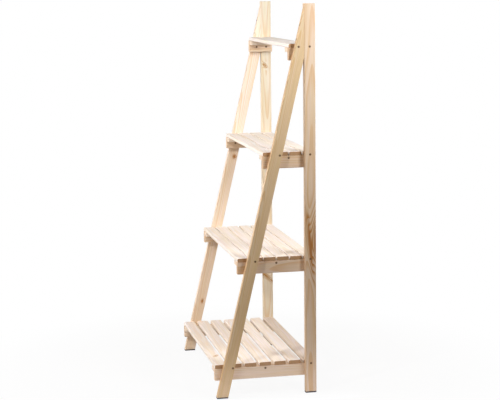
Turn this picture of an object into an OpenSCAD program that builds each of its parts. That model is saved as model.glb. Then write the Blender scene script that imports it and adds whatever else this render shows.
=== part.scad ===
// Plant ladder stand: two side frames, each an upright with a slanted front leg
// scarfed to its front face, joined by four slatted shelves that grow deeper
// towards the floor.
//
// The stand rests on the plane z = 0. +Z is up, the front is -Y, and the
// stand is symmetric about x = 0. A "depth" is measured forward from the back
// face of the uprights.

/* [Overall] */
// Height from the floor to the top of the uprights
height = 1400; // [1360:5:1460]
// Width over the outer faces of the side frames
width = 720; // [560:10:860]

/* [Side frames] */
// Width of the upright and leg stock, seen from the side
frame_w = 40; // [36:1:46]
// Thickness of the upright and leg stock
frame_t = 20; // [18:1:26]
// Rounding of the long edges of the upright and leg stock
frame_arris = 1.5; // [0.5:0.5:3]
// Drop from the top of the upright to the tip of the leg
tip_drop = 15; // [8:1:30]
// Reach of the bottom shelf beyond the front face of the leg
front_overhang = 30; // [20:1:40]
// Thickness of the foot pads
pad_t = 5; // [3:1:8]

/* [Shelf heights] */
// Drop from the top of the uprights to the top face of the top shelf
top_shelf_drop = 140; // [120:5:160]
// Rise from the lower shelf to the upper shelf
upper_rise = 376; // [340:4:400]
// Rise from the bottom shelf to the lower shelf
lower_rise = 384; // [340:4:400]
// Top face of the bottom shelf above the floor
bottom_shelf_z = 120; // [100:5:150]

/* [Slats] */
// Number of slats in the top shelf
top_slats = 2; // [2:1:3]
// Number of slats in the upper shelf
upper_slats = 4; // [4:1:5]
// Number of slats in the lower shelf
lower_slats = 6; // [6:1:7]
// Number of slats in the bottom shelf
bottom_slats = 7; // [7:1:8]
// Width of a slat
slat_w = 43; // [41:1:47]
// Thickness of a slat
slat_t = 14; // [13:0.5:18]
// Rounding of the long edges of a slat
slat_round = 4; // [1:0.5:5]
// Gap between the slats of the three upper shelves
slat_gap = 5; // [3:0.5:8]
// Gap between the slats of the bottom shelf
bottom_slat_gap = 11.5; // [9:0.5:15]

/* [Bearers and battens] */
// Height of a bearer
bearer_h = 44; // [38:1:52]
// Thickness of a bearer
bearer_t = 20; // [16:1:24]
// Rounding of the long edges of a bearer
bearer_arris = 2.5; // [1:0.5:3.5]
// Width of a batten, which lies flat under the slats
batten_w = 40; // [34:1:46]
// Thickness of a batten
batten_t = 16; // [12:1:18]
// Rounding of the long edges of a batten
batten_arris = 1.5; // [0.5:0.5:3]

/* [Screws] */
// Shank diameter of the frame screws
screw_d = 4; // [3.5:0.5:5]
// Head diameter of the frame screws
screw_head_d = 8; // [7:0.5:9]
// Shank diameter of the slat screws
slat_screw_d = 3.5; // [3:0.5:4]
// Head diameter of the slat screws
slat_screw_head_d = 7; // [6:0.5:8]
// Height of a countersunk head
screw_head_h = 2.6; // [2:0.2:3]
// Length of a screw's point
screw_point = 4; // [3:0.5:5]
// Clearance around a screw in its hole
screw_play = 0.1; // [0.05:0.05:0.2]
// Wood left in front of the point of a bearer or slat screw
point_cover = 6; // [4:1:7]
// Grip of a side screw in the end of a slat
slat_end_grip = 30; // [20:1:40]
// Drop from the top of a shelf to its side screws
side_screw_drop = 10; // [8:0.5:10.5]
// Drop from the top edge of a bearer to its frame screws
bearer_screw_drop = 24; // [20:1:28]
// Set of a bearer screw behind the front face of the upright or leg
bearer_screw_set = 16; // [12:1:20]
// Grip of a bearer-to-batten screw in the batten
batten_grip = 10; // [8:1:14]
// Set of the slat screws from the outer edge of the batten
slat_screw_set = 20; // [18:1:22]
// Drop from the tip of the leg to the first scarf screw
scarf_screw_drop = 60; // [45:5:70]
// Spacing of the two scarf screws along the upright
scarf_screw_pitch = 50; // [40:5:60]
// Grip of a scarf screw in the upright
scarf_grip = 22; // [16:1:28]

/* [Hidden] */
$fn = 32;

SHELVES = ["top", "upper", "lower", "bottom"];
SIDES = ["left", "right"];
shelf_z = [
    height - top_shelf_drop,
    bottom_shelf_z + lower_rise + upper_rise,
    bottom_shelf_z + lower_rise,
    bottom_shelf_z
];
shelf_slats = [top_slats, upper_slats, lower_slats, bottom_slats];
shelf_gap = [slat_gap, slat_gap, slat_gap, bottom_slat_gap];
BOTTOM = 3;

// Half widths of the frame: outer and inner faces of the uprights and legs
outer_x = width / 2;
inner_x = outer_x - frame_t;
rail_x = inner_x - bearer_t;
slat_screw_x = rail_x - slat_screw_set;

// Depths of the shelves and of the whole stand
function slat_pitch(i) = slat_w + shelf_gap[i];
function shelf_depth(i) = shelf_slats[i] * slat_w + (shelf_slats[i] - 1) * shelf_gap[i];
function slat_front(i, k) = shelf_depth(i) - k * slat_pitch(i);

// The leg's front face runs from its tip on the upright to a point set back
// from the front of the bottom shelf
tip_z = height - tip_drop;
leg_slope = (shelf_depth(BOTTOM) - front_overhang - frame_w) / (tip_z - bottom_shelf_z);
leg_angle = atan(leg_slope);
leg_side_w = frame_w / cos(leg_angle);
function leg_front(z) = frame_w + leg_slope * (tip_z - z);
function leg_back(z) = max(frame_w, leg_front(z) - leg_side_w);

stand_depth = max(shelf_depth(BOTTOM), leg_front(0));
back_y = stand_depth / 2;
function y_of(depth) = back_y - depth;

// Heights of the screws at a shelf
function side_screw_z(i) = shelf_z[i] - side_screw_drop;
function rail_top(i) = shelf_z[i] - slat_t;
function bearer_screw_z(i) = rail_top(i) - bearer_screw_drop;
function batten_screw_z(i) = rail_top(i) - batten_t / 2;

// The leg's side screw goes into the rearmost slat that overlaps the leg by
// at least a screw head, in the middle of that overlap
function lap_front(i, k) = min(leg_front(side_screw_z(i)), slat_front(i, k));
function lap_back(i, k) = max(leg_back(side_screw_z(i)), slat_front(i, k) - slat_w);
function lap(i, k) = lap_front(i, k) - lap_back(i, k);
function laps(i) = [for (k = [0 : shelf_slats[i] - 1]) lap(i, k)];
function good_laps(i) = [for (k = [0 : shelf_slats[i] - 1]) if (lap(i, k) >= screw_head_d) k];
function best_lap(i) = search(max(laps(i)), laps(i))[0];
function leg_slat(i) = len(good_laps(i)) > 0 ? max(good_laps(i)) : best_lap(i);
function leg_screw_depth(i) = (lap_front(i, leg_slat(i)) + lap_back(i, leg_slat(i))) / 2;
upright_screw_depth = frame_w / 2;
function side_screw_depths(i) = [upright_screw_depth, leg_screw_depth(i)];
function bearer_screw_depths(i) = [
    frame_w - bearer_screw_set,
    leg_front(bearer_screw_z(i)) - bearer_screw_set
];
function scarf_screw_z(j) = tip_z - scarf_screw_drop - j * scarf_screw_pitch;
function scarf_thickness(j) = (leg_front(scarf_screw_z(j)) - frame_w) * cos(leg_angle);

bearer_screw_l = bearer_t + frame_t - point_cover;
side_screw_l = frame_t + slat_end_grip;
batten_screw_l = bearer_t + batten_grip;
slat_screw_l = batten_t + slat_t - point_cover;
function scarf_screw_l(j) = scarf_thickness(j) + scarf_grip;

PINE = "#ead3ae";
PALE_PINE = "#f2e2cc";
RUBBER = "#262428";
STEEL = "#8d8a80";

// ---- helpers -------------------------------------------------------------

// Section of planed stock with its four corners rounded
module planed(x, y, r) {
    translate([r, 0]) square([x - 2 * r, y]);
    translate([0, r]) square([x, y - 2 * r]);
    for (px = [r, x - r], py = [r, y - r]) translate([px, py]) circle(r);
}

// Draws for the right side, or mirrored for the left
module on_side(side) {
    if (side == "right") children();
    else mirror([1, 0, 0]) children();
}

// Countersunk screw driven along +Z from its head at the origin
module screw(length, d, head_d, play = 0) {
    shank_r = d / 2 + play;
    head_r = head_d / 2 + play;
    rotate_extrude() polygon([
        [0, -play], [head_r, -play], [head_r, play], [shank_r, screw_head_h],
        [shank_r, length - screw_point], [0, length + play]
    ]);
}

// Turns a screw to drive outward (+X) or inward (-X)
module outward() rotate([0, 90, 0]) children();
module inward() rotate([0, -90, 0]) children();

// ---- screws of the right-hand side, used as solids and as holes ------------

module bearer_screws_at(i, play = 0) {
    for (depth = bearer_screw_depths(i))
        translate([rail_x, y_of(depth), bearer_screw_z(i)]) outward()
            screw(bearer_screw_l, screw_d, screw_head_d, play);
}

module side_screws_at(i, play = 0) {
    for (depth = side_screw_depths(i))
        translate([outer_x, y_of(depth), side_screw_z(i)]) inward()
            screw(side_screw_l, screw_d, screw_head_d, play);
}

module batten_screw_at(i, play = 0) {
    translate([inner_x, y_of(shelf_depth(i) / 2), batten_screw_z(i)]) inward()
        screw(batten_screw_l, screw_d, screw_head_d, play);
}

module slat_screw_at(i, k, play = 0) {
    translate([slat_screw_x, y_of(slat_front(i, k) - slat_w / 2), rail_top(i) - batten_t])
        screw(slat_screw_l, slat_screw_d, slat_screw_head_d, play);
}

module scarf_screws_at(play = 0) {
    for (j = [0, 1])
        translate([outer_x - frame_t / 2, y_of(leg_front(scarf_screw_z(j))), scarf_screw_z(j)])
            rotate([-90 - leg_angle, 0, 0])
                screw(scarf_screw_l(j), screw_d, screw_head_d, play);
}

// ---- side frames -----------------------------------------------------------

module upright_blank()
    translate([inner_x, y_of(frame_w), pad_t])
        linear_extrude(height - pad_t) planed(frame_t, frame_w, frame_arris);

module upright(side) {
    color(PINE) on_side(side) difference() {
        upright_blank();
        for (i = [0 : BOTTOM]) {
            side_screws_at(i, screw_play);
            bearer_screws_at(i, screw_play);
        }
        scarf_screws_at(screw_play);
    }
}

// Slanted board, cut level at the foot and upright along the scarf
module leg_blank() {
    reach = height / cos(leg_angle);
    difference() {
        translate([inner_x, y_of(leg_front(0)), 0]) rotate([-leg_angle, 0, 0])
            translate([0, 0, -frame_w])
                linear_extrude(reach + 2 * frame_w) planed(frame_t, frame_w, frame_arris);
        translate([inner_x - frame_t, y_of(leg_front(0)) - frame_w, -2 * frame_w])
            cube([3 * frame_t, 3 * frame_w, 2 * frame_w + pad_t]);
        translate([inner_x - frame_t, y_of(frame_w), 0])
            cube([3 * frame_t, stand_depth, 2 * height]);
    }
}

module front_leg(side) {
    color(PINE) on_side(side) difference() {
        leg_blank();
        for (i = [0 : BOTTOM]) {
            side_screws_at(i, screw_play);
            bearer_screws_at(i, screw_play);
        }
        scarf_screws_at(screw_play);
    }
}

module foot_pad(side, front_depth, length) {
    color(RUBBER) on_side(side)
        translate([inner_x, y_of(front_depth), 0])
            linear_extrude(pad_t) planed(frame_t, length, frame_arris);
}

// ---- shelves ---------------------------------------------------------------

// Rail lying along the shelf's depth, with its section in X and Z
module rail(i, x, z, w, h, arris) {
    translate([x, y_of(0), z]) rotate([90, 0, 0])
        linear_extrude(shelf_depth(i)) planed(w, h, arris);
}

module bearer(i, side) {
    color(PINE) on_side(side) difference() {
        rail(i, rail_x, rail_top(i) - bearer_h, bearer_t, bearer_h, bearer_arris);
        bearer_screws_at(i, screw_play);
        batten_screw_at(i, screw_play);
    }
}

module batten(i, side) {
    color(PINE) on_side(side) difference() {
        rail(i, rail_x - batten_w, rail_top(i) - batten_t, batten_w, batten_t, batten_arris);
        batten_screw_at(i, screw_play);
        for (k = [0 : shelf_slats[i] - 1]) slat_screw_at(i, k, screw_play);
    }
}

module slat(i, k) {
    color(PALE_PINE) difference() {
        translate([-inner_x, y_of(slat_front(i, k)), rail_top(i)])
            rotate([90, 0, 90])
                linear_extrude(2 * inner_x) planed(slat_w, slat_t, slat_round);
        for (side = SIDES) on_side(side) {
            side_screws_at(i, screw_play);
            slat_screw_at(i, k, screw_play);
        }
    }
}

// ---- screw groups ----------------------------------------------------------

module bearer_screws() {
    color(STEEL) for (side = SIDES, i = [0 : BOTTOM]) on_side(side) bearer_screws_at(i);
}

module side_screws() {
    color(STEEL) for (side = SIDES, i = [0 : BOTTOM]) on_side(side) side_screws_at(i);
}

module batten_screws() {
    color(STEEL) for (side = SIDES, i = [0 : BOTTOM]) on_side(side) batten_screw_at(i);
}

module slat_screws() {
    color(STEEL)
        for (side = SIDES, i = [0 : BOTTOM], k = [0 : shelf_slats[i] - 1])
            on_side(side) slat_screw_at(i, k);
}

module scarf_screws() {
    color(STEEL) for (side = SIDES) on_side(side) scarf_screws_at();
}

// ---- the stand -------------------------------------------------------------

for (s = SIDES) {
    upright(s);
    front_leg(s);
    foot_pad(s, frame_w, frame_w);
    foot_pad(s, leg_front(pad_t), leg_side_w);
}
for (i = [0 : BOTTOM]) {
    for (s = SIDES) {
        bearer(i, s);
        batten(i, s);
    }
    for (k = [1 : shelf_slats[i]])
        slat(i, k - 1);
}
bearer_screws();
side_screws();
batten_screws();
slat_screws();
scarf_screws();
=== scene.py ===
# %% [markdown]
# # A plant ladder stand in pine
#
# The stand has two side frames, each an upright with a slanted front leg, and
# four slatted shelves between them that grow deeper towards the floor. Every
# piece is a planed pine board, a screw or a foot pad.
#
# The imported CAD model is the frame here: it says where each board lies and how
# big it is. This script puts a finished board, with eased edges, drilled holes
# and pine grain, in the place of each plain one.

import math
import random

import bmesh
import bpy
import numpy as np
from mathutils import Matrix, Vector


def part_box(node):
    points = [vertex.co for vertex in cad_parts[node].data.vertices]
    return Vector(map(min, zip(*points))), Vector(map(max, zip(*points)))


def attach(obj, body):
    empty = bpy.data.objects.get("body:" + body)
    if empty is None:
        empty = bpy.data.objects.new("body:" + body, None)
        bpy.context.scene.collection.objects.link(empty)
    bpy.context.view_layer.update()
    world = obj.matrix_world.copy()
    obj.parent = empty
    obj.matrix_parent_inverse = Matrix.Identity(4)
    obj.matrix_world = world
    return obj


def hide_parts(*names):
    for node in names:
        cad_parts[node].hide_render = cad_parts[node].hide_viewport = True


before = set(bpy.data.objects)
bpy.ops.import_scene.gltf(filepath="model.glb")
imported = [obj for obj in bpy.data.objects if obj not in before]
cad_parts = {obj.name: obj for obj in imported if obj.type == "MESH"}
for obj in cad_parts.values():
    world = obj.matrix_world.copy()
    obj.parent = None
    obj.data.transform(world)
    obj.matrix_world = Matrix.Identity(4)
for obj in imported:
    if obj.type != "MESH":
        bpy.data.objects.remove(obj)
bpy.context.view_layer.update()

# %% [markdown]
# ## Small helpers
#
# A node tree is a list of nodes and links, so one helper that adds a node, sets
# its options and fills its inputs keeps the trees below readable. A geometry
# tree has a named input for each size, and it ends by making its instances real
# and giving them their material, because the export drops instances.

# %% Helpers for node trees
def add(tree, kind, inputs=None, **options):
    """Add a node; an input may be a number, a colour or another node's output."""
    node = tree.nodes.new(kind)
    for key, value in options.items():
        setattr(node, key, value)
    for key, value in (inputs or {}).items():
        if isinstance(value, bpy.types.NodeSocket):
            tree.links.new(value, node.inputs[key])
        else:
            node.inputs[key].default_value = value
    return node


def math_of(tree, operation, *values, clamp=False):
    inputs = dict(enumerate(values))
    return add(tree, "ShaderNodeMath", inputs, operation=operation, use_clamp=clamp).outputs[0]


def plus(tree, one, other, clamp=False):
    return math_of(tree, "ADD", one, other, clamp=clamp)


def minus(tree, one, other):
    return math_of(tree, "SUBTRACT", one, other)


def times(tree, one, other, clamp=False):
    return math_of(tree, "MULTIPLY", one, other, clamp=clamp)


def times_plus(tree, value, factor, offset):
    return math_of(tree, "MULTIPLY_ADD", value, factor, offset)


# %% Helpers for geometry trees
def geometry_tree(name, sizes):
    """A geometry tree with one named input for each size."""
    tree = bpy.data.node_groups.new(name, "GeometryNodeTree")
    for label, value in sizes.items():
        kind = "NodeSocketInt" if isinstance(value, int) else "NodeSocketFloat"
        socket = tree.interface.new_socket(label, in_out="INPUT", socket_type=kind)
        socket.default_value = value
    tree.interface.new_socket("Material", in_out="INPUT", socket_type="NodeSocketMaterial")
    tree.interface.new_socket("Geometry", in_out="OUTPUT", socket_type="NodeSocketGeometry")
    return tree


def end_tree(tree, geometry, material):
    """Make the instances real, give them the material and hand them out."""
    real = add(tree, "GeometryNodeRealizeInstances", {"Geometry": geometry})
    dressed = add(tree, "GeometryNodeSetMaterial", {
        "Geometry": real.outputs[0], "Material": material})
    add(tree, "NodeGroupOutput", {"Geometry": dressed.outputs[0]})
    return tree


# %% [markdown]
# ### From a tree to a finished piece
#
# A modifier's input is set by its socket's identifier. The live modifier is then
# swapped for the plain mesh it makes, with `new_from_object`, since each piece
# has to be a plain mesh at the origin before it is tied to its body.

# %% Helpers for pieces
def new_object(name, data):
    thing = bpy.data.objects.new(name, data)
    bpy.context.scene.collection.objects.link(thing)
    return thing


def grown(name, tree, values, mesh=None):
    """A new object whose mesh comes from a geometry tree with the given inputs."""
    piece = new_object(name, mesh or bpy.data.meshes.new(name))
    modifier = piece.modifiers.new(tree.name, "NODES")
    modifier.node_group = tree
    for item in tree.interface.items_tree:
        if item.in_out == "INPUT" and item.name in values:
            modifier[item.identifier] = values[item.name]
    return piece


def settle(piece):
    """Swap the live modifiers of a piece for the plain mesh they make."""
    graph = bpy.context.evaluated_depsgraph_get()
    mesh = bpy.data.meshes.new_from_object(piece.evaluated_get(graph))
    piece.modifiers.clear()
    old = piece.data
    piece.data = mesh
    bpy.data.meshes.remove(old)
    mesh.name = piece.name
    return piece


def finish_piece(piece, slot, *nodes):
    """Tie a finished piece to the stand's one body and hide the CAD nodes it stands for."""
    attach(piece, "root")
    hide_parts(*nodes)


# %% [markdown]
# ## Where the screws are
#
# Each CAD screw group is one mesh of loose triangles. Merged and split into its
# islands, it tells where every screw is: the two ends of an island's longest
# line are the head and the point, and the head is the wider end. The places
# could be typed in once more, but read from the frame they can't drift, and the
# drilled holes and the screws get the same ones.

# %% Read the screws from the frame
WELD = 1e-5


def read_screws(node):
    """(head centre, direction, length, head radius) of each screw in a CAD group."""
    solid = bmesh.new()
    solid.from_mesh(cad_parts[node].data)
    bmesh.ops.remove_doubles(solid, verts=solid.verts, dist=WELD)
    left = set(solid.verts)
    screws = []
    while left:
        start = left.pop()
        island, queue = [start], [start]
        while queue:
            for edge in queue.pop().link_edges:
                for other in edge.verts:
                    if other in left:
                        left.remove(other)
                        island.append(other)
                        queue.append(other)
        points = np.array([v.co[:] for v in island])
        middle = points.mean(axis=0)
        axis = np.linalg.svd(points - middle)[2][0]
        along = (points - middle) @ axis
        spread = np.linalg.norm(points - middle - along[:, None] * axis, axis=1)
        if along[spread.argmax()] > 0:
            axis, along = -axis, -along
        screws.append((middle + along.min() * axis, axis, np.ptp(along), spread.max()))
    solid.free()
    return sorted(screws, key=lambda s: tuple(np.round(s[0], 4)))


SCREW_GROUPS = ["bearer_screws", "side_screws", "batten_screws", "slat_screws", "scarf_screws"]
screws = {group: read_screws(group) for group in SCREW_GROUPS}
for group, found in screws.items():
    lengths = sorted({round(1000 * s[2], 1) for s in found})
    print(group, len(found), "screws, lengths in mm:", lengths)

# %% [markdown]
# ## The finishes
#
# Planed pine is pale cream with thin orange-brown lines where the year rings
# come to the surface. The material works like the tree: every board remembers
# where its points lie along the grain, across it and through it, and the rings
# are circles round a centre line somewhere outside the board. So the same rule
# gives straight lines on an edge, arches on a wide face and arcs on an end.

# %% Helpers for materials
def vector_of(tree, operation, *values):
    node = add(tree, "ShaderNodeVectorMath", dict(enumerate(values)), operation=operation)
    return node.outputs["Value" if operation in ("LENGTH", "DOT_PRODUCT") else "Vector"]


def attribute(tree, name, output="Vector"):
    return add(tree, "ShaderNodeAttribute", attribute_name=name).outputs[output]


def split(tree, vector):
    return add(tree, "ShaderNodeSeparateXYZ", {"Vector": vector}).outputs


def noise(tree, vector, stretch, detail=2.0, roughness=0.5, output="Fac"):
    """A cloudy pattern; `stretch` says how often it changes along each direction."""
    inputs = {"Vector": vector_of(tree, "MULTIPLY", vector, stretch), "Scale": 1.0,
              "Detail": detail, "Roughness": roughness}
    return add(tree, "ShaderNodeTexNoise", inputs).outputs[output]


def ease(tree, value, start, end, low=0.0, high=1.0):
    """A smooth step from low to high as the value goes from start to end."""
    inputs = {"Value": value, "From Min": start, "From Max": end, "To Min": low, "To Max": high}
    return add(tree, "ShaderNodeMapRange", inputs, interpolation_type="SMOOTHSTEP").outputs[0]


def blend(tree, factor, first, second, mode="MIX"):
    node = add(tree, "ShaderNodeMix", data_type="RGBA", blend_type=mode)
    for socket, value in zip((node.inputs[0], node.inputs[6], node.inputs[7]),
                             (factor, first, second)):
        if isinstance(value, bpy.types.NodeSocket):
            tree.links.new(value, socket)
        else:
            socket.default_value = value
    return node.outputs[2]


# %% Helpers for a new material
def cleared_tree(owner):
    """The node tree of a new material or world, without its default nodes."""
    owner.use_nodes = True
    owner.node_tree.nodes.clear()
    return owner.node_tree


def new_material(name):
    material = bpy.data.materials.new(name)
    tree = cleared_tree(material)
    shader = add(tree, "ShaderNodeBsdfPrincipled")
    output = add(tree, "ShaderNodeOutputMaterial")
    tree.links.new(shader.outputs[0], output.inputs["Surface"])
    return material, tree, shader


# %% [markdown]
# ### Pine: knots and year rings
#
# All lengths inside the material are in millimetres. A ring is a step in the
# distance from the tree's centre line. A slow noise bends the rings a little
# along the board, each knot pushes them aside as a branch does, and the late
# wood of each ring is the thin darker line. The Wave texture draws rings too,
# but they can't flow round a knot.

# %% Knots
KNOTS = 3
KNOT_FADE, KNOT_PUSH = -0.35, 1.5
# a squared distance in knot radii, from none of the dark to all of it
KNOT_CORE, KNOT_RIM, RIM_DARK = (1.25, 0.5), (4.5, 1.0), 0.35
NO_RADIUS = 0.01


def sum_of_squares(tree, one, other):
    return plus(tree, times(tree, one, one), times(tree, other, other))


def knot_push(tree, place, number):
    """How far knot `number` pushes the rings aside, how near it is and how dark it is here."""
    knot = split(tree, attribute(tree, f"knot_{number}"))
    dark, squeeze, slant = split(tree, attribute(tree, f"knot_{number}_look"))
    radius = math_of(tree, "MAXIMUM", knot[2], NO_RADIUS)
    run, side = (math_of(tree, "DIVIDE", minus(tree, place[k], knot[k]), radius) for k in (0, 1))
    side = plus(tree, side, times(tree, run, slant))
    run = times(tree, run, squeeze)
    far = sum_of_squares(tree, run, side)
    near = math_of(tree, "EXPONENT", times(tree, far, KNOT_FADE))
    push = times(tree, times(tree, near, radius), KNOT_PUSH)
    core = ease(tree, far, *KNOT_CORE)
    rim = times(tree, ease(tree, far, *KNOT_RIM), RIM_DARK)
    shade = times(tree, math_of(tree, "MAXIMUM", core, rim), dark)
    return push, near, shade


# %% Year rings
BEND_SCALE, BEND_MM = (0.0022, 0.012, 0.012), 16.0
# where the tree's centre line lies in mm, and how much it drifts per mm of board:
# a board's own random number times the first value, plus the second
PITH_ACROSS, PITH_UNDER = (80.0, -40.0), (-70.0, -22.0)
PITH_DRIFT = (0.04, -0.02)
# the dark line rises slowly through a ring and ends sharply
LATE_RISE, LATE_END = (0.35, 0.9), (1.0, 0.93)


def year_rings(tree, place, moved, rand):
    """How much this point is in a ring's dark line, how near a knot is and how dark."""
    bend = noise(tree, moved, BEND_SCALE, output="Color")
    bend = split(tree, vector_of(tree, "SUBTRACT", bend, (0.5, 0.5, 0.5)))
    across = plus(tree, place[1], times(tree, bend[0], BEND_MM))
    through = plus(tree, place[2], times(tree, bend[1], BEND_MM))
    across = minus(tree, across, times_plus(tree, rand[0], *PITH_ACROSS))
    through = minus(tree, through, times_plus(tree, rand[1], *PITH_UNDER))
    drift = times(tree, place[0], times_plus(tree, rand[2], *PITH_DRIFT))
    through = plus(tree, through, drift)
    out = math_of(tree, "SQRT", sum_of_squares(tree, across, through))
    near, shade = 0.0, 0.0
    for number in range(1, KNOTS + 1):
        push, knot_near, knot_shade = knot_push(tree, place, number)
        out = plus(tree, out, push)
        near = math_of(tree, "MAXIMUM", near, knot_near)
        shade = math_of(tree, "MAXIMUM", shade, knot_shade)
    ring = math_of(tree, "DIVIDE", out, attribute(tree, "ring_mm", "Fac"))
    ring = math_of(tree, "FRACT", ring)
    line = times(tree, ease(tree, ring, *LATE_RISE), ease(tree, ring, *LATE_END))
    return line, near, shade


# %% [markdown]
# ### Pine: the colour
#
# On the pale wood come, in this order, the ring lines, warm patches, pinkish
# and yellowish stripes, resin near the knots, fine fibre streaks, the knots
# themselves, the board's tint (painted light and shade on many boards), darker
# end grain and lightly soiled edges.
# An image of wood would show the same knots on every board; this rule never
# repeats. The side frames are yellower than the slats, so there are two pines.

# %% Tints and edges
SOIL, SOIL_MM = (0.80, 0.68, 0.56, 1), (2.4, 0.2)
RAGGED_MM = (2.0, -1.0)


def tinted(tree, colour, by):
    return blend(tree, 1.0, colour, by, "MULTIPLY")


def near_edge(tree, place, fibre):
    """1 at the board's long edges, 0 a few millimetres inside, with a ragged border."""
    half = split(tree, attribute(tree, "board_half"))
    insets = [minus(tree, half[k], math_of(tree, "ABSOLUTE", place[k])) for k in (1, 2)]
    inset = math_of(tree, "MAXIMUM", *insets)
    inset = plus(tree, inset, times_plus(tree, fibre, *RAGGED_MM))
    return ease(tree, inset, *SOIL_MM)


# %% The pine's patterns
TO_MM, OWN_SHIFT = (1000, 1000, 1000), (900, 900, 900)
# how often each noise changes per millimetre: along the grain, across, through
FIBRE, FINE = (0.011, 0.7, 0.7), (0.05, 3.5, 3.5)
CLOUD, STRIPE = (0.0035, 0.04, 0.04), (0.003, 0.15, 0.15)
# from where to where a noise shows, and from how little to how much
WARM_PATCHES, STRIPE_EDGES = (0.42, 0.72, 0.0, 0.55), (0.35, 0.65)
PINKISH, YELLOWISH = (1.0, 0.96, 0.97, 1), (0.97, 0.92, 0.82, 1)
# a noise or a ring line times the first value, plus the second
RESIN, RESIN_SHARE = (0.62, 0.38, 0.13, 1), (1.6, 0.4)
FIBRE_SHADE, FINE_SHADE, ROUGHNESS = (0.30, 0.85), (0.16, 0.92), (0.2, 0.46)
END_ROUGHER, PINE_SHEEN = 0.2, 0.35
GRAIN_RELIEF = {"Strength": 0.35, "Distance": 0.0003}
LINE_RELIEF, FINE_RELIEF = 0.5, 0.5


# %% The pine material
def pine(name, pale, late, warm, knot, end_shade, ring_strength, soiled):
    """Planed pine: `pale` wood, `late` ring lines, `warm` patches and dark `knot` cores."""
    material, tree, shader = new_material(name)
    at = vector_of(tree, "MULTIPLY", attribute(tree, "grain_at"), TO_MM)
    own = attribute(tree, "board_own")
    place = split(tree, at)
    moved = vector_of(tree, "ADD", at, vector_of(tree, "MULTIPLY", own, OWN_SHIFT))
    line, near_knot, knot_shade = year_rings(tree, place, moved, split(tree, own))
    fibre = noise(tree, moved, FIBRE, detail=3.0)
    fine = noise(tree, moved, FINE)
    cloud = noise(tree, moved, CLOUD, detail=1.0)
    stripe = noise(tree, moved, STRIPE)

    colour = blend(tree, times(tree, line, ring_strength), pale, late)
    colour = blend(tree, ease(tree, cloud, *WARM_PATCHES), colour, warm)
    stripes = blend(tree, ease(tree, stripe, *STRIPE_EDGES), PINKISH, YELLOWISH)
    colour = tinted(tree, colour, stripes)
    resinous = times_plus(tree, line, *RESIN_SHARE)
    resinous = times(tree, near_knot, resinous, clamp=True)
    colour = blend(tree, resinous, colour, tinted(tree, colour, RESIN))
    streak = times(tree, times_plus(tree, fibre, *FIBRE_SHADE),
                   times_plus(tree, fine, *FINE_SHADE))
    grey = add(tree, "ShaderNodeCombineColor", {0: streak, 1: streak, 2: streak}).outputs[0]
    colour = tinted(tree, colour, grey)
    colour = blend(tree, knot_shade, colour, knot)
    # The board's tint: painted light and shade on many boards.
    colour = tinted(tree, colour, attribute(tree, "board_tint_and_light", "Color"))
    end = attribute(tree, "end_grain", "Fac")
    colour = blend(tree, end, colour, tinted(tree, colour, end_shade))
    worn = times(tree, near_edge(tree, place, fibre), soiled)
    colour = blend(tree, worn, colour, tinted(tree, colour, SOIL))
    tree.links.new(colour, shader.inputs["Base Color"])

    rough = times_plus(tree, fibre, *ROUGHNESS)
    rough = plus(tree, rough, times(tree, end, END_ROUGHER), clamp=True)
    tree.links.new(rough, shader.inputs["Roughness"])
    shader.inputs["Specular IOR Level"].default_value = PINE_SHEEN
    relief = plus(tree, fibre, times(tree, fine, FINE_RELIEF))
    relief = plus(tree, times(tree, line, LINE_RELIEF), relief)
    bump = add(tree, "ShaderNodeBump", {"Height": relief, **GRAIN_RELIEF})
    tree.links.new(bump.outputs[0], shader.inputs["Normal"])
    return material


# %% The two pines
# The frame's end grain is barely darker than its sides: painted light for the brightly lit front
# ends of its boards.
frame_pine = pine("planed_frame_pine", pale=(0.87, 0.72, 0.53, 1), late=(0.76, 0.49, 0.24, 1),
                  warm=(0.82, 0.62, 0.39, 1), knot=(0.42, 0.17, 0.035, 1),
                  end_shade=(0.98, 0.94, 0.90, 1), ring_strength=0.65, soiled=0.2)
slat_pine = pine("planed_slat_pine", pale=(0.91, 0.875, 0.84, 1), late=(0.85, 0.69, 0.53, 1),
                 warm=(0.90, 0.82, 0.69, 1), knot=(0.34, 0.15, 0.06, 1),
                 end_shade=(0.50, 0.32, 0.18, 1), ring_strength=0.5, soiled=0.1)
print("pine materials:", frame_pine.name, slat_pine.name)

# %% [markdown]
# ### Screws and foot pads
#
# The screws are steel with a dulled yellow zinc plate, which reads bronze-brown:
# a cloudy metal, neither bright nor quite matt. The foot pads are dark rubber,
# nearly matt, with a fine moulded grain. One recipe makes both, a noise that
# drives colour, roughness and relief, since they differ only in its values. It
# reads the object's own coordinates, so the pattern stays put.

# %% The steel and rubber materials
CLOUDED = (0.3, 0.7)
SPECKLE_RELIEF = 0.4


def speckled(name, dark, light, grain, metal, rough, bump_mm):
    """Two shades and two roughnesses in one fine cloudy pattern, with a slight relief."""
    material, tree, shader = new_material(name)
    at = add(tree, "ShaderNodeTexCoord").outputs["Object"]
    cloud = noise(tree, at, (grain, grain, grain), detail=4.0, roughness=0.6)
    shade = blend(tree, ease(tree, cloud, *CLOUDED), dark, light)
    tree.links.new(shade, shader.inputs["Base Color"])
    tree.links.new(ease(tree, cloud, *CLOUDED, *rough), shader.inputs["Roughness"])
    shader.inputs["Metallic"].default_value = metal
    bump = add(tree, "ShaderNodeBump", {
        "Strength": SPECKLE_RELIEF, "Distance": bump_mm / 1000, "Height": cloud})
    tree.links.new(bump.outputs[0], shader.inputs["Normal"])
    return material


zinc = speckled("dull_zinc", dark=(0.12, 0.062, 0.026, 1), light=(0.21, 0.115, 0.052, 1),
                grain=1400, metal=0.3, rough=(0.55, 0.7), bump_mm=0.03)
rubber = speckled("foot_rubber", dark=(0.035, 0.03, 0.036, 1), light=(0.075, 0.066, 0.076, 1),
                  grain=900, metal=0.0, rough=(0.6, 0.8), bump_mm=0.08)
print("small materials:", zinc.name, rubber.name)

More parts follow.
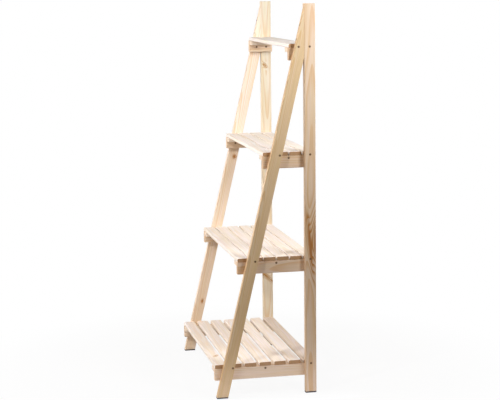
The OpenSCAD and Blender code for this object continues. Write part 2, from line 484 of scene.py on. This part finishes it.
# %% [markdown]
# ## One planed board
#
# Nearly everything here is the same thing: a board of some length, width and
# thickness with rounded long edges. A scaled cube with a Bevel would round its
# sawn ends just as much. So a geometry tree makes it from its four sizes, with
# a filleted rectangle swept along a straight line, as wood leaves a planer. The
# board stands along Z, its width along X, its thickness along Y.

# %% The board tree
CORNER_STEPS = 5


def board_nodes():
    tree = geometry_tree("planed_board", {
        "Length": 0.68, "Width": 0.043, "Thickness": 0.014, "Edge Round": 0.004})
    size = tree.nodes.new("NodeGroupInput").outputs
    section = add(tree, "GeometryNodeCurvePrimitiveQuadrilateral", {
        "Width": size["Width"], "Height": size["Thickness"]})
    eased = add(tree, "GeometryNodeFilletCurve", {
        "Curve": section.outputs[0], "Radius": size["Edge Round"],
        "Count": CORNER_STEPS}, mode="POLY")
    low, high = (times(tree, size["Length"], share) for share in (-0.5, 0.5))
    line = add(tree, "GeometryNodeCurvePrimitiveLine", {
        "Start": add(tree, "ShaderNodeCombineXYZ", {"Z": low}).outputs[0],
        "End": add(tree, "ShaderNodeCombineXYZ", {"Z": high}).outputs[0]})
    body = add(tree, "GeometryNodeCurveToMesh", {
        "Curve": line.outputs[0], "Profile Curve": eased.outputs[0], "Fill Caps": True})
    flat = add(tree, "GeometryNodeSetShadeSmooth", {
        "Geometry": body.outputs[0], "Shade Smooth": False})
    return end_tree(tree, flat.outputs[0], size["Material"])


planed_board = board_nodes()
print("board tree nodes:", len(planed_board.nodes))

# %% [markdown]
# ## Placing a board and marking its grain
#
# A board is placed by three directions: along the grain, across the width and
# through the thickness. They are the columns of a rotation matrix that is baked
# into the mesh, so the object itself stays at the origin. The same three
# directions then tell each point where it lies in its own board, and that is
# stored as attributes for the pine material.

# %% Where a board lies
SEED_STEP = 101


class Board:
    """Where one board lies: its centre, its three directions and its three sizes."""

    def __init__(self, centre, along, across, sizes, seed,
                 tint=(1, 1, 1), ring_mm=3.6, knots=()):
        self.centre = np.array(centre, float)
        through = np.cross(along, across)
        self.axes = np.array([along, across, through], float)
        self.sizes = np.array(sizes, float)
        self.own = np.array([random.Random(seed + k * SEED_STEP).random() for k in range(3)])
        self.tint = tint
        self.ring_mm = ring_mm
        self.knots = list(knots)[:KNOTS]

    def inputs(self, edge_round, material):
        """What the board tree needs to know to make this board."""
        length, width, thickness = (float(size) for size in self.sizes)
        return {"Length": length, "Width": width, "Thickness": thickness,
                "Edge Round": edge_round, "Material": material}


def board_from(node, along, across, seed, **look):
    """A board that fills the box of a CAD node."""
    low, high = (np.array(corner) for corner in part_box(node))
    through = np.cross(along, across)
    span = high - low
    sizes = [abs(span @ np.array(axis, float)) for axis in (along, across, through)]
    return Board((low + high) / 2, along, across, sizes, seed, **look)


# %% Mark the grain
NO_KNOT = (0, 0, 0, 0, 1, 0)
END_FACING = 0.8
HALF_TO_MM = 500


def store(mesh, name, values, domain="POINT"):
    """Give each point or face its number or its vector."""
    values = np.asarray(values, dtype=np.float32)
    kind, key = ("FLOAT", "value") if values.ndim == 1 else ("FLOAT_VECTOR", "vector")
    mesh.attributes.new(name, kind, domain).data.foreach_set(key, values.ravel())


def mark_grain(piece, boards, which=None):
    """Tell each point where it lies in its board; `which` is each point's board number."""
    mesh = piece.data
    count = len(mesh.vertices)
    at = np.empty(count * 3, dtype=np.float32)
    mesh.vertices.foreach_get("co", at)
    at = at.reshape(-1, 3)
    which = np.zeros(count, int) if which is None else which

    def table(values):
        """Each board's value, given to all points of that board."""
        return np.array(values, float)[which]

    offset = at - table([b.centre for b in boards])
    local = np.einsum("nij,nj->ni", table([b.axes for b in boards]), offset)
    store(mesh, "grain_at", local)
    store(mesh, "board_own", table([b.own for b in boards]))
    store(mesh, "board_half", table([b.sizes * HALF_TO_MM for b in boards]))
    store(mesh, "board_tint_and_light", table([b.tint for b in boards]))
    store(mesh, "ring_mm", table([b.ring_mm for b in boards]))
    knots = [b.knots + [NO_KNOT] * (KNOTS - len(b.knots)) for b in boards]
    for k in range(KNOTS):
        store(mesh, f"knot_{k + 1}", table([n[k][:3] for n in knots]))
        store(mesh, f"knot_{k + 1}_look", table([n[k][3:] for n in knots]))
    ends = []
    for face in mesh.polygons:
        along = boards[which[face.vertices[0]]].axes[0]
        ends.append(1.0 if abs(np.dot(face.normal, along)) > END_FACING else 0.0)
    store(mesh, "end_grain", ends, "FACE")


# %% Put a board in its place
def put_in_place(mesh, board):
    """Turn a board mesh from its own Z-along position into its place in the stand."""
    along, across, through = (Vector(axis) for axis in board.axes)
    turn = Matrix((across, through, along)).transposed().to_4x4()
    mesh.transform(Matrix.Translation(Vector(board.centre)) @ turn)


# %% [markdown]
# ## Drilled holes
#
# A countersunk screw needs a hole with a cone at its mouth. A dark dot in the
# material could pass for it, but only a real cut looks right from close by and
# is there in the mesh. One cutter is a lathed profile: a wide rim, the
# cone and a straight bore. The cutters of all screws that pass a board are
# joined in one mesh, and a Boolean modifier takes them out in one go.

# %% A turned cutter
CUTTER_STEPS = 24


def lathed(mesh_data, profile, head, direction, steps=CUTTER_STEPS):
    """Add a closed turned shape to lists of points and faces. Profile: (depth, radius)."""
    points, faces = mesh_data
    direction = Vector(direction)
    side = direction.orthogonal().normalized()
    up = direction.cross(side)
    first = len(points)
    points.append(Vector(head) + direction * profile[0][0])
    for depth, radius in profile:
        for k in range(steps):
            angle = 2 * math.pi * k / steps
            ring = (side * math.cos(angle) + up * math.sin(angle)) * radius
            points.append(Vector(head) + direction * depth + ring)
    points.append(Vector(head) + direction * profile[-1][0])
    last = len(points) - 1
    rows = len(profile)
    for k in range(steps):
        nxt = (k + 1) % steps
        faces.append((first, first + 1 + nxt, first + 1 + k))
        for row in range(rows - 1):
            a = first + 1 + row * steps
            faces.append((a + k, a + nxt, a + steps + nxt, a + steps + k))
        a = first + 1 + (rows - 1) * steps
        faces.append((last, a + k, a + nxt))


# %% Which screws pass a board
BITE = 0.0005
LINE_SAMPLES = 60


def passes(board, head, direction, length):
    """Whether a screw's middle line runs through the board, by more than the bite."""
    line = np.array([head + direction * length * t for t in np.linspace(0.0, 1.0, LINE_SAMPLES)])
    local = (line - board.centre) @ board.axes.T
    return np.any(np.all(np.abs(local) < board.sizes / 2 - BITE, axis=1))


# %% Drill a board
HEAD_DEPTH = 0.0026
HOLE_PLAY = 0.0003
RIM_DEPTH = 0.0001
SHANK_TO_HEAD = 0.5
PAST_ENDS = 0.0006


def drill(piece, board):
    """Cut the holes of all screws that pass this board, and say how many there are."""
    points, faces = [], []
    count = 0
    for head, direction, length, radius in (s for found in screws.values() for s in found):
        if not passes(board, head, direction, length):
            continue
        bore = radius * SHANK_TO_HEAD + HOLE_PLAY
        profile = [(-PAST_ENDS, radius + HOLE_PLAY), (RIM_DEPTH, radius + HOLE_PLAY),
                   (HEAD_DEPTH + HOLE_PLAY, bore), (length + PAST_ENDS, bore)]
        lathed((points, faces), profile, head, direction)
        count += 1
    if not count:
        return 0
    mesh = bpy.data.meshes.new("cutters")
    mesh.from_pydata(points, [], faces)
    cutters = new_object("cutters", mesh)
    cut = piece.modifiers.new("holes", "BOOLEAN")
    cut.object = cutters
    cut.operation = "DIFFERENCE"
    cut.solver = "EXACT"
    settle(piece)
    bpy.data.objects.remove(cutters)
    bpy.data.meshes.remove(mesh)
    return count


# %% [markdown]
# ## Sawing, easing and cleaning
#
# A saw cut is a plane that drops one side of the board and closes the other.
# Freshly cut edges are never knife sharp, so a small Bevel breaks them; its
# angle limit leaves the rounded long edges alone. Last, points that the cuts
# left almost on top of each other are merged, so the mesh is clean.

# %% Saw, ease and clean
SHARP_MM = 0.5
SAWN_MM = 1.0
SHARP_ANGLE = math.radians(40)
SLIVER = 0.005 / 1000


def saw(mesh, point, normal):
    """Cut a mesh with a plane, drop what lies on the normal's side and close the cut."""
    solid = bmesh.new()
    solid.from_mesh(mesh)
    everything = solid.verts[:] + solid.edges[:] + solid.faces[:]
    cut = bmesh.ops.bisect_plane(solid, geom=everything, plane_co=point, plane_no=normal,
                                 clear_outer=True)
    rim = [e for e in cut["geom_cut"] if isinstance(e, bmesh.types.BMEdge)]
    bmesh.ops.contextual_create(solid, geom=rim)
    bmesh.ops.recalc_face_normals(solid, faces=solid.faces)
    solid.to_mesh(mesh)
    solid.free()


def soften(piece, width_mm=SHARP_MM):
    """Take the sharpness off sawn edges; the rounded long edges are too flat to be touched."""
    bevel = piece.modifiers.new("soften", "BEVEL")
    bevel.width = width_mm / 1000
    bevel.segments = 2
    bevel.limit_method = "ANGLE"
    bevel.angle_limit = SHARP_ANGLE
    settle(piece)


def merge_slivers(piece):
    """Merge points that the cuts left closer together than anyone could see."""
    solid = bmesh.new()
    solid.from_mesh(piece.data)
    bmesh.ops.remove_doubles(solid, verts=solid.verts, dist=SLIVER)
    bmesh.ops.dissolve_degenerate(solid, edges=solid.edges, dist=SLIVER)
    solid.to_mesh(piece.data)
    solid.free()


# %% Make one board
def make_board(name, board, material, edge_round, cuts=()):
    """One board: swept, placed, sawn at `cuts`, softened, drilled and marked."""
    piece = settle(grown(name, planed_board, board.inputs(edge_round, material)))
    put_in_place(piece.data, board)
    for point, normal in cuts:
        saw(piece.data, point, normal)
    soften(piece, SAWN_MM if cuts else SHARP_MM)
    holes = drill(piece, board)
    merge_slivers(piece)
    mark_grain(piece, [board])
    return piece, holes


# %% [markdown]
# ## The side frames
#
# The two uprights are plain boards. A front leg is a longer board turned in its
# own plane, sawn level at the foot and sawn upright along the scarf that lies on
# the upright. Two plane cuts give the long taper exactly, where a taper drawn
# point by point could miss the upright's face. The slope comes from the box of
# the leg's CAD node, whose corners are the front of the foot and the tip.

# %% What each side board looks like
# A knot is (along, across, radius, darkness, squeeze, slant), its places and
# radius in mm from the board's middle. A darkness of 0 bends the rings only.
# The tints are painted light and shade: the left frame's cool, pale tints stand for light on its
# lit inner faces, and the right frame's darker ones for shade on its dim outer faces. The right
# upright is also a redder board.
LOOKS = {
    "left_upright": {"tint": (0.92, 1.03, 1.13),
                     "knots": [(445, -6, 5, 0.35, 0.8, 0.5), (-409, -9, 7, 0.4, 0.35, 1.0)]},
    "right_upright": {"tint": (0.80, 0.75, 0.73), "ring_mm": 5.0,
                      "knots": [(-140, 30, 20, 0.0, 0.35, 0.0), (-160, -1, 5, 0.9, 0.07, 0.086),
                                (-150, 18, 3.2, 0.85, 0.08, 0.0)]},
    "left_front_leg": {"tint": (1.05, 1.12, 1.29), "ring_mm": 2.2,
                       "knots": [(100, 7, 4.6, 1.0, 0.8, 0.0), (-500, 6, 3.5, 1.0, 0.6, 0.0)]},
    "right_front_leg": {"tint": (0.77, 0.71, 0.60), "ring_mm": 2.2},
}

# %% Uprights and front legs
ALONG_X, ALONG_Y, ALONG_Z = (1, 0, 0), (0, 1, 0), (0, 0, 1)
FRAME_ROUND = 0.0015
FRAME_SEEDS, LEG_SEED = {"left": 11, "right": 29}, 7
PAD_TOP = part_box("left_leg_foot_pad")[1][2]


def leaning_board(node, stock, seed):
    """A board on the slope of a leg, long enough to be sawn, with its two saw cuts."""
    low, high = (np.array(corner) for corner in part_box(node))
    rise, run = high[2] - low[2], high[1] - low[1]
    slope = math.atan2(run, rise)
    along = (0, math.sin(slope), math.cos(slope))
    across = (0, math.cos(slope), -math.sin(slope))
    centre = (low + high) / 2 + np.array(across) * stock / 2
    sizes = (math.hypot(rise, run) + 2 * stock, stock, high[0] - low[0])
    at_floor, at_upright = ((0, 0, PAD_TOP), (0, 0, -1)), ((0, high[1], 0), (0, 1, 0))
    print(node, "leans by", round(math.degrees(slope), 2), "degrees")
    return Board(centre, along, across, sizes, seed, **LOOKS[node]), [at_floor, at_upright]


for side, seed in FRAME_SEEDS.items():
    node = f"{side}_upright"
    board = board_from(node, ALONG_Z, ALONG_Y, seed, **LOOKS[node])
    piece, holes = make_board(f"{side}_upright_board", board, frame_pine, FRAME_ROUND)
    finish_piece(piece, "frame_pine", node)

    node = f"{side}_front_leg"
    board, cuts = leaning_board(node, board.sizes[1], seed + LEG_SEED)
    piece, leg_holes = make_board(f"{side}_front_leg_board", board, frame_pine, FRAME_ROUND, cuts)
    finish_piece(piece, "frame_pine", node)
    print(side, "frame:", holes, "holes in the upright,", leg_holes, "in the leg")

# %% [markdown]
# ## Bearers and battens
#
# Under each end of a shelf a bearer stands on edge, screwed to the side frame,
# and a batten lies flat against it, with the slats screwed to it from below.
# All sixteen are plain boards, so one loop makes them, and only the direction
# of their width, the rounding of their edges and the tint differ.

# %% Bearers and battens
SHELVES = ("top", "upper", "lower", "bottom")
BEARER_ROUND = 0.0025
RAIL_SEEDS, SHELF_STEP = {"left": 205, "right": 200}, 20
# The right rails' darker tint is painted shade on the near frame's dim outer faces, a little less
# dark on the bottom right bearer. The left rails' cool tint is painted light on the far frame's
# lit inner faces.
RAIL_LIGHT_AND_SHADE = {"left": (0.98, 1.0, 1.08), "right": (0.82, 0.765, 0.76)}
# The battens' pale, cool tint is painted light for their brightly lit front ends.
BATTEN_PAINTED_LIGHT = (1.05, 1.20, 1.50)
BEARER_PAINTED_SHADE = {"bottom_shelf_right_bearer": (0.92, 0.92, 0.99)}
for number, shelf in enumerate(SHELVES):
    for side in ("left", "right"):
        for part, across, edge_round in (("bearer", ALONG_Z, BEARER_ROUND),
                                         ("batten", ALONG_X, FRAME_ROUND)):
            node = f"{shelf}_shelf_{side}_{part}"
            tint = BEARER_PAINTED_SHADE.get(node, BATTEN_PAINTED_LIGHT if part == "batten" else RAIL_LIGHT_AND_SHADE[side])
            seed = RAIL_SEEDS[side] + SHELF_STEP * number + len(part + shelf)
            board = board_from(node, ALONG_Y, across, seed, tint=tint)
            piece, holes = make_board(f"{shelf}_{side}_{part}_board", board, frame_pine,
                                      edge_round)
            finish_piece(piece, "frame_pine", node)
    print(shelf, "shelf: bearers and battens,", holes, "holes in the last")

# %% [markdown]
# ## The slats
#
# A shelf's slats are one board repeated at an even pitch. An Array modifier
# could repeat it, but all slats would share one grain. Here a mesh line gives
# the places and an instance of the board is put on each. Each slat keeps its
# number as an attribute, by which it gets its own grain, and the instances are
# made real at the end.

# %% The slat tree
def slat_nodes():
    tree = geometry_tree("slat_row", {
        "Slats": 4, "Pitch": 0.048, "Length": 0.68, "Width": 0.043, "Thickness": 0.014,
        "Edge Round": 0.004})
    size = tree.nodes.new("NodeGroupInput").outputs
    one = add(tree, "GeometryNodeGroup", node_tree=planed_board)
    for label in ("Length", "Width", "Thickness", "Edge Round", "Material"):
        tree.links.new(size[label], one.inputs[label])
    lying = add(tree, "GeometryNodeTransform", {
        "Geometry": one.outputs[0], "Rotation": (math.pi / 2, 0.0, math.pi / 2)})
    step = add(tree, "ShaderNodeCombineXYZ", {"Y": size["Pitch"]})
    row = add(tree, "GeometryNodeMeshLine", {"Count": size["Slats"], "Offset": step.outputs[0]})
    placed = add(tree, "GeometryNodeInstanceOnPoints", {
        "Points": row.outputs[0], "Instance": lying.outputs[0]})
    number = add(tree, "GeometryNodeInputIndex")
    named = add(tree, "GeometryNodeStoreNamedAttribute", {
        "Geometry": placed.outputs[0], "Name": "slat",
        "Value": number.outputs[0]}, data_type="INT", domain="INSTANCE")
    return end_tree(tree, named.outputs[0], size["Material"])


slat_row = slat_nodes()
print("slat tree nodes:", len(slat_row.nodes))

# %% [markdown]
# ### The four rows
#
# The height, number and pitch of a row come from its CAD nodes, so it can't
# drift from the solids. The first slat is placed and the tree counts on from
# it towards the rear.

# %% The slats of each shelf
SLAT_ROUND = 0.004
SLAT_SEED, ROW_STEP, SLAT_STEP = 500, 37, 11
SLAT_LOOKS = {
    "bottom_shelf_slat_1": {"knots": [(211, 5, 4.5, 0.25, 0.55, 0.3)]},
    # The rear bottom slat's darker tint is painted shade from the shelf above.
    "bottom_shelf_slat_7": {"tint": (0.79, 0.75, 0.71)},
}
for number, shelf in enumerate(SHELVES):
    nodes = sorted((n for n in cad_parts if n.startswith(f"{shelf}_shelf_slat_")),
                   key=lambda n: int(n.rsplit("_", 1)[1]))
    row_seed = SLAT_SEED + ROW_STEP * number
    boards = [board_from(n, ALONG_X, ALONG_Y, row_seed + SLAT_STEP * k, **SLAT_LOOKS.get(n, {}))
              for k, n in enumerate(nodes)]
    first, pitch = boards[0], boards[1].centre[1] - boards[0].centre[1]
    row = settle(grown(f"{shelf}_shelf_slats", slat_row, {
        "Slats": len(boards), "Pitch": float(pitch), **first.inputs(SLAT_ROUND, slat_pine)}))
    row.data.transform(Matrix.Translation(Vector(first.centre)))
    soften(row)
    which = np.empty(len(row.data.vertices), dtype=np.int32)
    row.data.attributes["slat"].data.foreach_get("value", which)
    mark_grain(row, boards, which)
    finish_piece(row, "slat_pine", *nodes)
    print(shelf, "shelf:", len(boards), "slats at", round(1000 * pitch, 1), "mm,",
          len(row.data.polygons), "faces")

# %% [markdown]
# ## The screws
#
# A wood screw is a cone for the head, a cylinder, a pointed cone, a spiral
# ridge for the thread and a cross cut into the head. One tree makes it from its
# sizes and puts it on a cloud of points, turned to each point's direction.
# Modelled once and repeated, 82 screws cost no more work than one.

# %% One screw
HEAD_STEPS, SHANK_STEPS, THREAD_STEPS = 24, 16, 10
IN_HEAD = 0.001
TIP_RADIUS = 0.0002
CROSS_SLOT = (0.0009, 0.0044, 0.0036)
THREAD_FROM, THREADED = 0.36, 0.62


def one_screw(tree, size):
    """The nodes of one screw, with its head at the origin and its point up along Z."""
    def lifted(shape, z):
        lift = add(tree, "ShaderNodeCombineXYZ", {"Z": z}).outputs[0]
        return add(tree, "GeometryNodeTransform", {
            "Geometry": shape, "Translation": lift}).outputs[0]

    root = minus(tree, size["Shank Radius"], size["Thread Height"])
    head = add(tree, "GeometryNodeMeshCone", {
        "Vertices": HEAD_STEPS, "Radius Top": root, "Radius Bottom": size["Head Radius"],
        "Depth": size["Head Depth"]})
    body_length = minus(tree, size["Shank Length"], size["Point Length"])
    core_length = minus(tree, body_length, IN_HEAD)
    core = add(tree, "GeometryNodeMeshCylinder", {
        "Vertices": SHANK_STEPS, "Radius": root, "Depth": core_length})
    tip = add(tree, "GeometryNodeMeshCone", {
        "Vertices": SHANK_STEPS, "Radius Top": TIP_RADIUS, "Radius Bottom": root,
        "Depth": size["Point Length"]})
    core_up = lifted(core.outputs["Mesh"], plus(tree, times(tree, core_length, 0.5), IN_HEAD))
    tip_up = lifted(tip.outputs["Mesh"], minus(tree, body_length, TIP_RADIUS))

    slot = add(tree, "GeometryNodeMeshCube", {"Size": CROSS_SLOT}).outputs["Mesh"]
    other = add(tree, "GeometryNodeTransform", {
        "Geometry": slot, "Rotation": (0.0, 0.0, math.pi / 2)}).outputs[0]
    cross = add(tree, "GeometryNodeMeshBoolean", {"Mesh 1": head.outputs["Mesh"]},
                operation="DIFFERENCE", solver="EXACT")
    tree.links.new(slot, cross.inputs["Mesh 2"])
    tree.links.new(other, cross.inputs["Mesh 2"])

    threaded = times(tree, body_length, THREADED)
    turns = math_of(tree, "DIVIDE", threaded, size["Thread Pitch"])
    helix = add(tree, "GeometryNodeCurveSpiral", {
        "Resolution": THREAD_STEPS, "Rotations": turns, "Start Radius": root,
        "End Radius": root, "Height": threaded})
    tooth = add(tree, "GeometryNodeCurvePrimitiveCircle", {
        "Resolution": 3, "Radius": size["Thread Height"]})
    thread = add(tree, "GeometryNodeCurveToMesh", {
        "Curve": helix.outputs[0], "Profile Curve": tooth.outputs[0], "Fill Caps": True})
    thread_up = lifted(thread.outputs[0], times(tree, body_length, THREAD_FROM))
    whole = add(tree, "GeometryNodeJoinGeometry")
    for shape in (cross.outputs["Mesh"], core_up, tip_up, thread_up):
        tree.links.new(shape, whole.inputs[0])
    return whole


# %% The screw tree
def screw_nodes():
    """A tree that puts a screw on each point, aimed along `drive` and turned by `turn`."""
    tree = geometry_tree("wood_screws", {
        "Shank Length": 0.035, "Head Radius": 0.004, "Shank Radius": 0.002,
        "Head Depth": 0.0026, "Point Length": 0.004, "Thread Height": 0.0005,
        "Thread Pitch": 0.002})
    cloud = tree.interface.new_socket("Points", in_out="INPUT", socket_type="NodeSocketGeometry")
    tree.interface.move(cloud, 0)
    size = tree.nodes.new("NodeGroupInput").outputs
    whole = one_screw(tree, size)
    drive = add(tree, "GeometryNodeInputNamedAttribute", {"Name": "drive"},
                data_type="FLOAT_VECTOR")
    turn = add(tree, "GeometryNodeInputNamedAttribute", {"Name": "turn"}, data_type="FLOAT")
    aim = add(tree, "FunctionNodeAlignRotationToVector", {"Vector": drive.outputs[0]}, axis="Z")
    twist = add(tree, "FunctionNodeAxisAngleToRotation", {
        "Axis": (0, 0, 1), "Angle": turn.outputs[0]})
    spin = add(tree, "FunctionNodeRotateRotation", {
        "Rotation": aim.outputs[0], "Rotate By": twist.outputs[0]}, rotation_space="LOCAL")
    placed = add(tree, "GeometryNodeInstanceOnPoints", {
        "Points": size["Points"], "Instance": whole.outputs[0], "Rotation": spin.outputs[0]})
    return end_tree(tree, placed.outputs[0], size["Material"])


wood_screws = screw_nodes()
print("screw tree nodes:", len(wood_screws.nodes))

# %% [markdown]
# ### Driving the screws
#
# The places read from the frame become a cloud of points, and each point
# carries its screw's direction and how far its cross is turned, since no two
# screws stop at the same angle. A group may hold two lengths: each length is
# one run of the tree, and the runs are joined.

# %% Drive the screws
SUNK = 0.0002


def screw_cloud(found, seed):
    """Points at the screw heads, with the direction and the turn of each screw."""
    cloud = bpy.data.meshes.new("screw_points")
    cloud.from_pydata([tuple(head + direction * SUNK) for head, direction, _, _ in found], [], [])
    store(cloud, "drive", [direction for _, direction, _, _ in found])
    dice = random.Random(seed)
    store(cloud, "turn", [dice.uniform(0, math.pi / 2) for _ in found])
    return cloud


for seed, (group, found) in enumerate(screws.items()):
    parts = []
    for length in sorted({round(s[2], 5) for s in found}):
        alike = [s for s in found if round(s[2], 5) == length]
        radius = float(alike[0][3])
        parts.append(settle(grown(f"{group}_steel", wood_screws, {
            "Shank Length": float(length) - SUNK, "Head Radius": radius,
            "Shank Radius": radius * SHANK_TO_HEAD, "Head Depth": HEAD_DEPTH,
            "Material": zinc}, screw_cloud(alike, seed))))
    if len(parts) > 1:
        with bpy.context.temp_override(active_object=parts[0], selected_editable_objects=parts):
            bpy.ops.object.join()
    finish_piece(parts[0], "screw_steel", group)
    print(group, "faces:", len(parts[0].data.polygons))

# %% [markdown]
# ## Foot pads
#
# Under each foot is a thin block of dark rubber with softly rounded corners. A
# cube with a Bevel would do too, but the board tree already makes a block from
# its sizes: here it is a very short board, stood on end.

# %% Foot pads
PAD_ROUND, PAD_SOFT_MM = 0.002, 0.8
PAD_SEED = 900
for side in ("left", "right"):
    for foot in ("upright", "leg"):
        node = f"{side}_{foot}_foot_pad"
        board = board_from(node, ALONG_Z, ALONG_Y, PAD_SEED)
        pad = settle(grown(f"{side}_{foot}_pad_block", planed_board,
                           board.inputs(PAD_ROUND, rubber)))
        put_in_place(pad.data, board)
        soften(pad, PAD_SOFT_MM)
        finish_piece(pad, "pad_rubber", node)
        print(node, "is", round(1000 * board.sizes[0], 1), "mm thick")

# %% [markdown]
# ## Floor and background
#
# The photograph is a studio shot on white. The floor is a real pale surface
# that bounces light up, but the camera sees it nearly white, with only a faint
# shadow near the feet. That white comes from a glow that only camera, glossy
# and transmission rays see, so it adds no light to the wood. The floor darkens
# outwards for the light that bounces, where the camera can't tell.

# %% Floor
WHITE = (1.0, 1.0, 1.0, 1.0)
FLOOR_REACH, FLOOR_DROP = 9, 0.0005
FLOOR_SHADE = {"start": 0.5, "end": 1.5, "low": 0.75, "high": 0.05}
FLOOR_GLOW = {"start": 0.4, "end": 1.2, "low": 0.92, "high": 1.0}


def seen_directly(tree):
    """1 for camera, glossy and transmission rays, 0 for the light that bounces."""
    ray = add(tree, "ShaderNodeLightPath").outputs
    seen = plus(tree, ray["Is Camera Ray"], ray["Is Glossy Ray"], clamp=True)
    return plus(tree, seen, ray["Is Transmission Ray"], clamp=True)


floor_mesh = bpy.data.meshes.new("studio_floor")
floor_mesh.from_pydata([(x * FLOOR_REACH, y * FLOOR_REACH, -FLOOR_DROP)
                        for x, y in ((-1, -1), (1, -1), (1, 1), (-1, 1))], [], [(0, 1, 2, 3)])
floor = new_object("studio_floor", floor_mesh)
floor_white = bpy.data.materials.new("studio_white")
tree = cleared_tree(floor_white)
away = vector_of(tree, "LENGTH", add(tree, "ShaderNodeTexCoord").outputs["Object"])
surface = add(tree, "ShaderNodeBsdfDiffuse", {"Color": ease(tree, away, **FLOOR_SHADE)})
glow = add(tree, "ShaderNodeEmission", {"Color": WHITE, "Strength": 1.0})
whiteness = times(tree, seen_directly(tree), ease(tree, away, **FLOOR_GLOW))
mixed = add(tree, "ShaderNodeMixShader", {
    0: whiteness, 1: surface.outputs[0], 2: glow.outputs[0]})
add(tree, "ShaderNodeOutputMaterial", {"Surface": mixed.outputs[0]})
floor_mesh.materials.append(floor_white)
print("floor:", 2 * FLOOR_REACH, "m wide,", 1000 * FLOOR_DROP, "mm under the pads")

# %% Background
WARM_FILL, FILL_STRENGTH = (1.0, 0.74, 0.5, 1.0), 0.05
world = bpy.data.worlds.new("studio_world")
bpy.context.scene.world = world
tree = cleared_tree(world)
fill = add(tree, "ShaderNodeBackground", {"Color": WARM_FILL, "Strength": FILL_STRENGTH})
shown = add(tree, "ShaderNodeBackground", {"Color": WHITE, "Strength": 1.0})
mixed = add(tree, "ShaderNodeMixShader", {
    0: seen_directly(tree), 1: fill.outputs[0], 2: shown.outputs[0]})
add(tree, "ShaderNodeOutputWorld", {"Surface": mixed.outputs[0]})
print("background: white to the camera, a dim warm fill to the wood")

# %% [markdown]
# ## Lamps
#
# The slats are bright, the outer sides of the near frame are darker towards
# the floor, and the far frame is lit from inside, so one big lamp won't do.
# The key stands high at the front right. Three lamps look between the frames
# at the far one, from the front and from the rear, and one hangs over the
# slats. Two on the left keep the faces that the photograph doesn't show at a
# plain level, one from the rear right lifts the near frame's upper half, and a
# thin strip near the floor stands for the light that the floor throws up.

# %% Lamps
def soft_lamp(name, place_at, look_at, width, height, watts, colour):
    lamp = bpy.data.lights.new(name, "AREA")
    lamp.shape = "RECTANGLE"
    lamp.size, lamp.size_y = width, height
    lamp.energy = watts
    lamp.color = colour
    holder = new_object(name, lamp)
    holder.location = place_at
    aim = Vector(look_at) - Vector(place_at)
    holder.rotation_euler = aim.to_track_quat("-Z", "Y").to_euler()
    return holder


PLAIN, WARM, COOL, BLUISH = (1, 1, 1), (1.1, 0.97, 0.9), (0.96, 1.02, 1.1), (0.85, 0.95, 1.25)
# name, where it stands, where it looks, width, height, watts, colour
LAMPS = (
    ("key", (1.9, -2.2, 2.85), (-0.1, 0.0, 0.8), 0.15, 0.15, 44, PLAIN),
    ("front_inside", (0.25, -1.6, 1.3), (-0.34, 0.0, 0.9), 0.4, 0.4, 11, WARM),
    ("front_low", (0.25, -1.6, 0.5), (-0.34, 0.0, 0.5), 0.5, 0.6, 1.6, WARM),
    ("front_overhead", (0.3, -1.0, 2.4), (-0.1, 0.0, 0.6), 0.5, 0.5, 11.5, COOL),
    ("rear_inside", (0.2, 1.8, 1.3), (-0.34, 0.0, 0.9), 0.5, 0.8, 15, WARM),
    ("front_left", (-1.2, -2.8, 0.5), (0.0, 0.0, 0.7), 0.8, 0.6, 3, PLAIN),
    ("left_side", (-2.3, -1.3, 0.6), (0.0, 0.0, 0.8), 0.5, 0.5, 14, PLAIN),
    ("foot_glow", (0.46, -0.07, 0.025), (0.36, -0.07, 0.025), 0.8, 0.04, 0.11, BLUISH),
    ("right_rear", (1.1, 0.7, 1.53), (0.36, 0.05, 1.13), 0.3, 0.3, 12.5, COOL),
)
lamps = {name: soft_lamp(name, *rest) for name, *rest in LAMPS}
lamps["foot_glow"].visible_camera = False
print("lamps:", ", ".join(lamps))

# %% [markdown]
# ## Camera
#
# The camera stands about five metres off the right-hand side, a little to the
# front, and looks slightly down with a long lens. Its place and its turns were
# fitted so that edges and screw heads of the stand fall where the photograph
# shows them. The three directions of the lens form its rotation matrix.

# %% Camera
EYE = Vector((5.2017, -1.0756, 1.4712))
AZIMUTH, DOWN, ROLL = (math.radians(a) for a in (78.0903, 8.6731, -0.6236))
FOCAL_PX, FRAME_PX, SENSOR_MM = 1420.82, 500, 36.0
VIEW_END = 60
ahead = Vector((-math.sin(AZIMUTH) * math.cos(DOWN), math.cos(AZIMUTH) * math.cos(DOWN),
                -math.sin(DOWN)))
level = Vector((math.cos(AZIMUTH), math.sin(AZIMUTH), 0.0))
upward = level.cross(ahead)
right = level * math.cos(ROLL) + upward * math.sin(ROLL)
top = upward * math.cos(ROLL) - level * math.sin(ROLL)
lens = bpy.data.cameras.new("camera")
lens.sensor_fit = "HORIZONTAL"
lens.sensor_width = SENSOR_MM
lens.lens = FOCAL_PX / FRAME_PX * SENSOR_MM
lens.clip_end = VIEW_END
camera = new_object("camera", lens)
camera.matrix_world = Matrix.Translation(EYE) @ Matrix((right, top, -ahead)).transposed().to_4x4()
bpy.context.scene.camera = camera
bpy.context.scene.view_settings.view_transform = "Standard"
print("camera lens:", round(lens.lens, 1), "mm")
